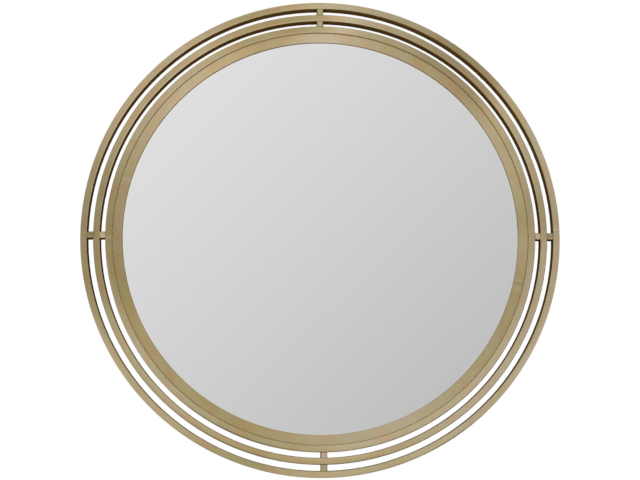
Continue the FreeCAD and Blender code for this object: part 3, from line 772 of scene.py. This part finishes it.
def ring_brass(name, part, tone=1.0, places=(), outside=None):
    """Brass brushed round a ring, lighter or darker by its tone and at its places: painted reflections,
    painted edge light and walls in painted shade.

    part is hoop, outer_hoop, inner_hoop, lip or bead. outside is the outer radius of a hoop.
    """
    material, nodes = new_material(name)
    at = RoundPlace(nodes)
    tint = nodes.smooth(at.patches, PATCH_TAN_STARTS_AT, PATCH_TAN_FULL_AT)
    tint = nodes.math("ADD", add_places(nodes, at, TAN_PLACES[part], tint), 0.0, clamp=True)
    streak_place = along_ring(nodes, at, STREAK_LENGTH, STREAK_WIDTH)
    scratch_place = along_ring(nodes, at, SCRATCH_LENGTH, SCRATCH_WIDTH)
    change, scratches = brushing(nodes, streak_place, scratch_place)
    # Painted reflections of the room's lights, with the ring's own seams and uneven tone.
    change = add_places(nodes, at, places, change)
    blue = nodes.times_plus(at.across, RIGHT_SIDE_BLUE, RING_BLUE[part])
    blue = add_places(nodes, at, BLUE_PLACES[part], blue)
    facing = at.facing
    if part in HOOP_LIGHT_LEANS:
        change = add_hoop_edges(nodes, at, part, outside, change)
        grey_edge = nodes.smooth(at.radius, outside - EDGE_GREY_WIDTH, outside)
        change = nodes.times_plus(grey_edge, EDGE_GREY_SHADE, change)
        blue = nodes.times_plus(grey_edge, EDGE_GREY_BLUE, blue)
        facing = nodes.math("ADD", facing, add_places(nodes, at, BRIGHT_CORNERS))
    if part == "lip":
        change = add_lip_lines(nodes, at, change)
    shade = nodes.math("ADD", change, tone)
    blue = nodes.math("MULTIPLY", nodes.times_plus(change, SHADED_BLUE, blue), shade)
    colour = nodes.shaded(nodes.mix(tint, OLIVE_GOLD, TAN_GOLD), shade, blue)
    face = nodes.smooth(facing, FACE_STARTS_AT, FACE_FULL_AT)
    facing_out = nodes.vector_math("DOT_PRODUCT", at.normal, at.outward)
    if part == "outer_hoop":
        face = nodes.math("MAXIMUM", face, nodes.smooth(facing_out, RIM_STARTS_AT, RIM_FULL_AT))
    brass_surface(nodes, face, colour, ring_walls(nodes, at, part, facing_out), scratches, at.outward)
    return material


def spacer_brass(spacer, outside):
    """Brass brushed along a spacer whose outer end is at the outside radius."""
    tone, tan_share, own_blue, end_shade, angle = SPACERS[spacer]
    material, nodes = new_material(f"brass_{spacer}")
    at = RoundPlace(nodes)
    turn = math.radians(angle)
    way = 1.0 if math.cos(turn) - math.sin(turn) > 0.0 else -1.0
    beside = nodes.vector_math("DOT_PRODUCT", at.place, (-way * math.sin(turn), 0.0, way * math.cos(turn)))
    least_tan = tan_share - SPACER_PATCH_SPREAD * NOISE_MIDDLE
    tint = nodes.times_plus(at.patches, SPACER_PATCH_SPREAD, least_tan, clamp=True)
    streak_place = along_spacer(nodes, at, beside, angle, SPACER_BRUSH_LENGTH, SPACER_BRUSH_WIDTH)
    scratch_place = along_spacer(nodes, at, beside, angle, SCRATCH_LENGTH, SCRATCH_WIDTH)
    change, scratches = brushing(nodes, streak_place, scratch_place)
    for middle, amount in SPACER_MARKS_AND_SHADE[spacer]:
        change = nodes.times_plus(nodes.near(beside, middle, SPACER_MARK_REACH), amount, change)
    # Painted shade on the rounded side edges and at the outer end.
    off_middle = nodes.math("ABSOLUTE", beside)
    edge = nodes.smooth(off_middle, SPACER_EDGE_STARTS_AT, SPACER_EDGE_ENDS_AT, 1.0, SPACER_EDGE_SHADE)
    end = nodes.smooth(at.radius, outside - SPACER_END_WIDTH, outside, 1.0, 1.0 + end_shade)
    shade = nodes.math("MULTIPLY", nodes.math("ADD", change, tone), nodes.math("MULTIPLY", edge, end))
    gold = nodes.mix(tint, OLIVE_GOLD, TAN_GOLD)
    colour = nodes.shaded(gold, shade, nodes.math("MULTIPLY", shade, own_blue))
    face = nodes.smooth(at.facing, FACE_STARTS_AT, FACE_FULL_AT)
    # The walls of a spacer are painted dark: painted shade.
    brass_surface(nodes, face, colour, SPACER_WALL_SHADE_BROWN, scratches, at.around)
    return material


# The glass: its front reflects, its ground edge is green, and its back is painted.
GLASS_REFLECTION = (0.904, 0.902, 0.903, 1.0)
GLASS_EDGE = srgb(150, 176, 164)
GLASS_BACK = srgb(118, 122, 120)
GLASS_BACK_ROUGHNESS = 0.4
GLASS_FACE_STARTS_AT = 0.90
GLASS_FACE_FULL_AT = 0.98


def mirror():
    """Silvered glass: clear reflection in front, a green ground edge, grey backing paint behind."""
    material, nodes = new_material("silvered_glass")
    _, normal = object_place(nodes)
    _, normal_y, _ = nodes.split(normal)
    front = nodes.smooth(normal_y, -GLASS_FACE_STARTS_AT, -GLASS_FACE_FULL_AT)
    rear = nodes.smooth(normal_y, GLASS_FACE_STARTS_AT, GLASS_FACE_FULL_AT)
    edge_or_paint = nodes.mix(rear, GLASS_EDGE, GLASS_BACK)
    nodes.surface(
        Base_Color=nodes.mix(front, edge_or_paint, GLASS_REFLECTION),
        Metallic=front,
        Roughness=nodes.times_plus(front, -GLASS_BACK_ROUGHNESS, GLASS_BACK_ROUGHNESS),
    )
    return material


# Plain finishes with a fine mottled grain: colour, roughness and how metallic each is.
PLAIN_FINISHES = {
    "foam": (srgb(222, 222, 216), 0.9, 0.0),
    "rubber": (srgb(34, 34, 35), 0.7, 0.0),
    "screw_steel": (srgb(186, 184, 176), 0.3, 1.0),
    "nickel_wire": (srgb(204, 202, 196), 0.22, 1.0),
}
PLAIN_GRAIN = 0.0008
PLAIN_DETAIL = 3.0
PLAIN_CONTRAST = 0.1
PLAIN_BUMP = 0.00003


def plain(name):
    """A plain finish with its fine mottled grain."""
    colour, roughness, metallic = PLAIN_FINISHES[name]
    material, nodes = new_material(name)
    place, _ = object_place(nodes)
    speckle = nodes.noise(place, scale=1 / PLAIN_GRAIN, detail=PLAIN_DETAIL)
    shade = nodes.times_plus(speckle, 2 * PLAIN_CONTRAST, 1 - PLAIN_CONTRAST)
    nodes.surface(
        Base_Color=nodes.shaded(colour, shade),
        Metallic=metallic,
        Roughness=roughness,
        Normal=nodes.bump(speckle, PLAIN_BUMP),
    )
    return material


# Brown fibreboard: its soft blotches, its fibres in three directions and its dark specks.
BOARD_BROWN = srgb(184, 154, 117)
BOARD_DARK = srgb(170, 138, 101)
BOARD_BLOTCH = 0.085
BOARD_BLOTCH_NOISE = {"detail": 5.0, "roughness": 0.62}
BOARD_BLOTCH_STARTS_AT = 0.30
BOARD_BLOTCH_FULL_AT = 0.72
BOARD_FIBRE_ANGLES = (17, 77, 137)
BOARD_FIBRE_LENGTH = 0.0060
BOARD_FIBRE_WIDTH = 0.0011
BOARD_FIBRE_NOISE = {"detail": 2.0, "roughness": 0.6}
BOARD_FIBRE_MEAN = 0.62
BOARD_FIBRE_CONTRAST = 0.42
BOARD_FIBRE_BUMP = 0.0001
BOARD_SPECK = 0.0042
BOARD_SPECK_DETAIL = 1.0
BOARD_SPECK_STARTS_AT = 0.66
BOARD_SPECK_FULL_AT = 0.74
BOARD_SPECK_SHADE = -0.16
BOARD_ROUGHNESS = 0.62
BOARD_FIBRE_ROUGHNESS = 0.3


def fibreboard():
    """Sanded fibreboard with short fibres across each other, soft blotches and dark specks."""
    material, nodes = new_material("fibreboard")
    place, _ = object_place(nodes)
    _, depth, _ = nodes.split(place)
    fibre = 0.0
    for angle in BOARD_FIBRE_ANGLES:
        turn = math.radians(angle)
        along = nodes.vector_math("DOT_PRODUCT", place, (math.cos(turn), 0.0, math.sin(turn)))
        beside = nodes.vector_math("DOT_PRODUCT", place, (-math.sin(turn), 0.0, math.cos(turn)))
        stretched = nodes.join(
            nodes.math("DIVIDE", along, BOARD_FIBRE_LENGTH),
            nodes.times_plus(depth, 1 / BOARD_FIBRE_WIDTH, float(angle)),
            nodes.math("DIVIDE", beside, BOARD_FIBRE_WIDTH),
        )
        fibre = nodes.math("MAXIMUM", fibre, nodes.noise(stretched, **BOARD_FIBRE_NOISE))
    blotches = nodes.noise(place, scale=1 / BOARD_BLOTCH, **BOARD_BLOTCH_NOISE)
    dark = nodes.smooth(blotches, BOARD_BLOTCH_STARTS_AT, BOARD_BLOTCH_FULL_AT)
    grain = nodes.noise(place, scale=1 / BOARD_SPECK, detail=BOARD_SPECK_DETAIL)
    specks = nodes.smooth(grain, BOARD_SPECK_STARTS_AT, BOARD_SPECK_FULL_AT)
    shade = nodes.times_plus(fibre, BOARD_FIBRE_CONTRAST, 1.0 - BOARD_FIBRE_MEAN * BOARD_FIBRE_CONTRAST)
    shade = nodes.times_plus(specks, BOARD_SPECK_SHADE, shade)
    nodes.surface(
        Base_Color=nodes.shaded(nodes.mix(dark, BOARD_BROWN, BOARD_DARK), shade),
        Roughness=nodes.times_plus(fibre, BOARD_FIBRE_ROUGHNESS, BOARD_ROUGHNESS),
        Normal=nodes.bump(fibre, BOARD_FIBRE_BUMP),
    )
    return material


# Zinc-plated sheet steel: the crystals that the zinc sets in, and fine scuffs, by their number to a metre.
ZINC_GREY = srgb(198, 200, 200)
ZINC_CRYSTAL = 0.0038
ZINC_SCUFFS = 900.0
ZINC_SCUFF_DETAIL = 3.0
ZINC_LEAST_SHADE = 0.81
ZINC_CRYSTAL_CONTRAST = 0.16
ZINC_SCUFF_CONTRAST = 0.10
ZINC_ROUGHNESS = 0.28
ZINC_CRYSTAL_ROUGHNESS = 0.16
ZINC_BUMP = 0.00002


def zinc_plate():
    """Zinc plating whose crystals differ a little in tone and gloss."""
    material, nodes = new_material("zinc_plate")
    place, _ = object_place(nodes)
    cells = nodes.add("ShaderNodeTexVoronoi", {"Vector": place, "Scale": 1 / ZINC_CRYSTAL}).outputs["Color"]
    crystal, _, _ = nodes.split(cells)
    scuffs = nodes.noise(place, scale=ZINC_SCUFFS, detail=ZINC_SCUFF_DETAIL)
    shade = nodes.times_plus(crystal, ZINC_CRYSTAL_CONTRAST, ZINC_LEAST_SHADE)
    shade = nodes.times_plus(scuffs, ZINC_SCUFF_CONTRAST, shade)
    nodes.surface(
        Base_Color=nodes.shaded(ZINC_GREY, shade),
        Metallic=1.0,
        Roughness=nodes.times_plus(crystal, ZINC_CRYSTAL_ROUGHNESS, ZINC_ROUGHNESS),
        Normal=nodes.bump(scuffs, ZINC_BUMP),
    )
    return material


def dress_brass():
    """Gives hoops, spacers and lips their brass."""
    for node, part, reflections_and_marks in (
        ("outer_hoop", "outer_hoop", OUTER_HOOP_REFLECTIONS_AND_MARKS),
        ("middle_hoop", "hoop", MIDDLE_HOOP_REFLECTIONS_AND_MARKS),
        ("inner_hoop", "inner_hoop", INNER_HOOP_REFLECTIONS_AND_MARKS),
    ):
        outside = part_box(node)[1].x
        dress(ring_brass(f"brass_{node}", part, HOOP_TONE, HOOP_REFLECTIONS + reflections_and_marks, outside), node)
    for spacer in SPACERS:
        around = "outer_hoop" if spacer.startswith("outer") else "middle_hoop"
        dress(spacer_brass(spacer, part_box(around)[1].x - TUBE_FACE), spacer)
    for half, tone in LIP_TONES:
        dress(ring_brass(f"brass_lip_{half}", "lip", tone, LIP_REFLECTIONS_AND_MARKS), f"lip_{half}_half")


def dress_rest():
    """Gives the glass and what is behind it their finishes."""
    dress(mirror(), "mirror_glass")
    dress(fibreboard(), "backing_board")
    dress(plain("foam"), "bedding_tape", "foam_sheet")
    rubber = plain("rubber")
    zinc = zinc_plate()
    screw = plain("screw_steel")
    nickel = plain("nickel_wire")
    dress(rubber, *(f"wall_bumper_{index + 1}" for index in range(BUMPER_COUNT)))
    dress(zinc, *(f"retaining_clip_{index + 1}" for index in range(CLIP_COUNT)))
    dress(screw, "clip_screws")
    for side in ("left", "right"):
        dress(rubber, f"setting_block_{side}")
        dress(zinc, f"hanger_strap_{side}")
        dress(nickel, f"d_ring_{side}")
        dress(screw, f"hanger_screws_{side}")


# Braze filler in the joint between inner hoop and lip, set back from the front of the lip. It gives the
# joint its line of painted shadow.
JOINT_INSIDE = 0.39665
JOINT_OUTSIDE = 0.39735
JOINT_FRONT = -0.0270
JOINT_BACK = -0.0230
JOINT_SAG = 0.0002
JOINT_STEPS = 480

# The filler's colour is a painted shadow: darker up and to the right, uneven by its lumps, which are given
# by their number to a metre.
JOINT_LIGHT = srgb(226, 206, 160)
JOINT_DARK = srgb(84, 62, 34)
JOINT_LIGHT_SHARE = 0.72
JOINT_FALL_UP = 1.10
JOINT_FALL_RIGHT = 0.80
JOINT_LUMPS = 160.0
JOINT_LUMP_DETAIL = 2.0
JOINT_LUMP_SPREAD = 0.3
JOINT_ROUGHNESS = 0.6
JOINT_SPECULAR = 0.1


def braze_filler():
    """Dull braze in painted shadow, darker at the top and to the right."""
    material, nodes = new_material("joint_braze_shadow")
    place, _ = object_place(nodes)
    x, _, z = nodes.split(place)
    share = nodes.times_plus(z, -JOINT_FALL_UP, JOINT_LIGHT_SHARE)
    share = nodes.times_plus(x, -JOINT_FALL_RIGHT, share)
    lumps = nodes.noise(place, scale=JOINT_LUMPS, detail=JOINT_LUMP_DETAIL)
    unevenness = nodes.times_plus(lumps, JOINT_LUMP_SPREAD, -JOINT_LUMP_SPREAD * NOISE_MIDDLE)
    share = nodes.math("ADD", share, unevenness, clamp=True)
    colour = nodes.mix(share, JOINT_DARK, JOINT_LIGHT)
    nodes.surface(Base_Color=colour, Roughness=JOINT_ROUGHNESS, Specular_IOR_Level=JOINT_SPECULAR)
    return material


def add_joint_filler():
    """A ring of filler with a hollow front, between inner hoop and lip."""
    middle = (JOINT_INSIDE + JOINT_OUTSIDE) / 2
    section = (
        (JOINT_INSIDE, JOINT_FRONT),
        (middle, JOINT_FRONT + JOINT_SAG),
        (JOINT_OUTSIDE, JOINT_FRONT),
        (JOINT_OUTSIDE, JOINT_BACK),
        (JOINT_INSIDE, JOINT_BACK),
    )
    corners = len(section)
    points, faces = [], []
    for step in range(JOINT_STEPS):
        turn = math.tau * step / JOINT_STEPS
        points += [(radius * math.cos(turn), depth, radius * math.sin(turn)) for radius, depth in section]
        after = (step + 1) % JOINT_STEPS
        join_sections(faces, step * corners, after * corners, corners)
    filler = add_mesh("joint_filler", points, faces, braze_filler())
    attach(filler, "frame")


# Weld beads between spacers and hoops, at the back of the frame.
BEAD_HALF_LENGTH = 0.0050
BEAD_HALF_WIDTH = 0.0019
BEAD_HEIGHT = 0.0010
BEAD_FOOT = 0.00005
BEAD_CORNERS = 7
BEAD_STEPS = 40
BEAD_RIPPLES = 9
BEAD_RIPPLE_SHARE = 0.32
BEAD_END_SLOPE = 6
BEAD_END_SHARE = 0.2


def bead_height(step):
    """Height of a bead along its length: rippled, and low at both ends."""
    share = step / BEAD_STEPS
    ripple = 1 - BEAD_RIPPLE_SHARE * abs(math.sin(math.pi * BEAD_RIPPLES * share))
    end = BEAD_END_SHARE + BEAD_END_SLOPE * min(share, 1 - share)
    return BEAD_HEIGHT * ripple * min(1.0, end)


def add_bead(points, faces, edge_radius, towards, angle):
    """Lays a bead along the edge of a hoop. towards is 1 for a spacer outside the hoop, else -1."""
    first = len(points)
    last = first + BEAD_STEPS * BEAD_CORNERS
    for step in range(BEAD_STEPS + 1):
        turn = math.radians(angle) + BEAD_HALF_LENGTH * (2 * step / BEAD_STEPS - 1) / edge_radius
        for corner in range(BEAD_CORNERS):
            share = 2 * corner / (BEAD_CORNERS - 1) - 1
            radius = edge_radius + towards * (share * BEAD_HALF_WIDTH - TUBE_CORNER / 2)
            depth = -HOOP_BACK - BEAD_FOOT + bead_height(step) * (1 - share**2)
            points.append((radius * math.cos(turn), depth, radius * math.sin(turn)))
    for near in range(first, last, BEAD_CORNERS):
        join_sections(faces, near, near + BEAD_CORNERS, BEAD_CORNERS)
    faces.append(tuple(range(first, first + BEAD_CORNERS)))
    faces.append(tuple(range(last, last + BEAD_CORNERS)))


def add_weld_beads():
    """The beads at both ends of every spacer."""
    outside = {ring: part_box(f"{ring}_hoop")[1].x for ring in ("outer", "middle", "inner")}
    points, faces = [], []
    for spacer, (*_, angle) in SPACERS.items():
        around, within = ("outer", "middle") if spacer.startswith("outer") else ("middle", "inner")
        add_bead(points, faces, outside[around] - TUBE_FACE, -1, angle)
        add_bead(points, faces, outside[within], 1, angle)
    beads = add_mesh("weld_beads", points, faces, ring_brass("brass_weld_beads", "bead"))
    shell = bmesh.new()
    shell.from_mesh(beads.data)
    bmesh.ops.recalc_face_normals(shell, faces=shell.faces)
    shell.to_mesh(beads.data)
    shell.free()
    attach(beads, "frame")


def floor_finish():
    """A pale floor that keeps soft shadows, whiter for the camera and clear for far reflected rays."""
    material, nodes = new_material("floor")
    place, _ = object_place(nodes)
    x, y, _ = nodes.split(place)
    away = nodes.vector_math("LENGTH", nodes.join(x, y, 0.0))
    camera_ray = nodes.add("ShaderNodeLightPath").outputs["Is Camera Ray"]
    other_ray = nodes.math("SUBTRACT", 1.0, camera_ray)
    whiter = nodes.smooth(away, FLOOR_FADE_START, FLOOR_FADE_END, FLOOR_WHITE_SHARE)
    clearer = nodes.smooth(away, FLOOR_CLEAR_START, FLOOR_CLEAR_END)
    pale = nodes.add("ShaderNodeBsdfDiffuse", {"Color": FLOOR_COLOUR}).outputs[0]
    white = nodes.add("ShaderNodeEmission").outputs[0]
    clear = nodes.add("ShaderNodeBsdfTransparent").outputs[0]
    share = nodes.math("MULTIPLY", clearer, other_ray)
    finish = nodes.add("ShaderNodeMixShader", {0: share, 1: pale, 2: clear}).outputs[0]
    share = nodes.math("MULTIPLY", whiter, camera_ray)
    finish = nodes.add("ShaderNodeMixShader", {0: share, 1: finish, 2: white}).outputs[0]
    nodes.add("ShaderNodeOutputMaterial", {0: finish})
    return material


def add_floor():
    """A round floor under the mirror that fades into the white background."""
    bottom = cad_box[0].z - FLOOR_DROP
    turns = (math.tau * step / FLOOR_SIDES for step in range(FLOOR_SIDES))
    rim = [(FLOOR_RADIUS * math.cos(turn), FLOOR_RADIUS * math.sin(turn), bottom) for turn in turns]
    floor = add_mesh("floor", rim, [range(FLOOR_SIDES)], floor_finish())


def aim(thing, place, target):
    """Puts a lamp or camera at a place and turns it towards a target."""
    thing.location = place
    thing.rotation_euler = (target - place).to_track_quat("-Z", "Y").to_euler()


def light_studio():
    """A white background with a soft grey front, and one large soft lamp."""
    world = bpy.data.worlds.new("studio")
    world.use_nodes = True
    bpy.context.scene.world = world
    nodes = Nodes(world.node_tree)
    direction = nodes.add("ShaderNodeTexCoord").outputs["Generated"]
    x, y, z = nodes.split(direction)
    level = nodes.times_plus(x, -FRONT_FALL_RIGHT, FRONT_LEVEL)
    level = nodes.times_plus(z, FRONT_RISE_UP, level)
    level = nodes.math("MINIMUM", nodes.math("MAXIMUM", level, FRONT_DARKEST), FRONT_BRIGHTEST)
    towards_panel = nodes.vector_math("DOT_PRODUCT", direction, CEILING_PANEL.normalized())
    apart = nodes.math("SUBTRACT", towards_panel, 1.0)
    panel = nodes.math("EXPONENT", nodes.math("MULTIPLY", apart, 2 / CEILING_PANEL_WIDTH**2))
    aside = nodes.times_plus(panel, CEILING_PANEL_LEVEL, AROUND_LEVEL)
    ahead = nodes.smooth(nodes.math("MULTIPLY", y, -1.0), AROUND_FULL_AT, AROUND_STARTS_AT)
    level = nodes.times_plus(nodes.math("SUBTRACT", level, aside), ahead, aside)
    behind = nodes.smooth(y, BEHIND_STARTS_AT, BEHIND_FULL_AT)
    lit = nodes.mix(behind, nodes.join(level, level, level), WHITE)
    camera_ray = nodes.add("ShaderNodeLightPath").outputs["Is Camera Ray"]
    background = nodes.add("ShaderNodeBackground", {"Color": nodes.mix(camera_ray, lit, WHITE)}).outputs[0]
    nodes.add("ShaderNodeOutputWorld", {0: background})

    lamp = bpy.data.lights.new("soft_lamp", "AREA")
    lamp.energy = LAMP_POWER
    lamp.size = LAMP_SIZE
    holder = add_object("soft_lamp", lamp)
    holder.visible_glossy = False
    aim(holder, LAMP_PLACE, Vector())


def add_camera():
    """The camera of the picture."""
    data = bpy.data.cameras.new("camera")
    data.sensor_width = SENSOR_WIDTH
    data.lens = FOCAL_PIXELS * SENSOR_WIDTH / FRAME_WIDTH
    camera = add_object("camera", data)
    aim(camera, CAMERA_PLACE, CAMERA_TARGET)
    bpy.context.scene.camera = camera


dress_brass()
dress_rest()
add_joint_filler()
add_weld_beads()
add_floor()
light_studio()
add_camera()
bpy.context.scene.view_settings.view_transform = "Standard"
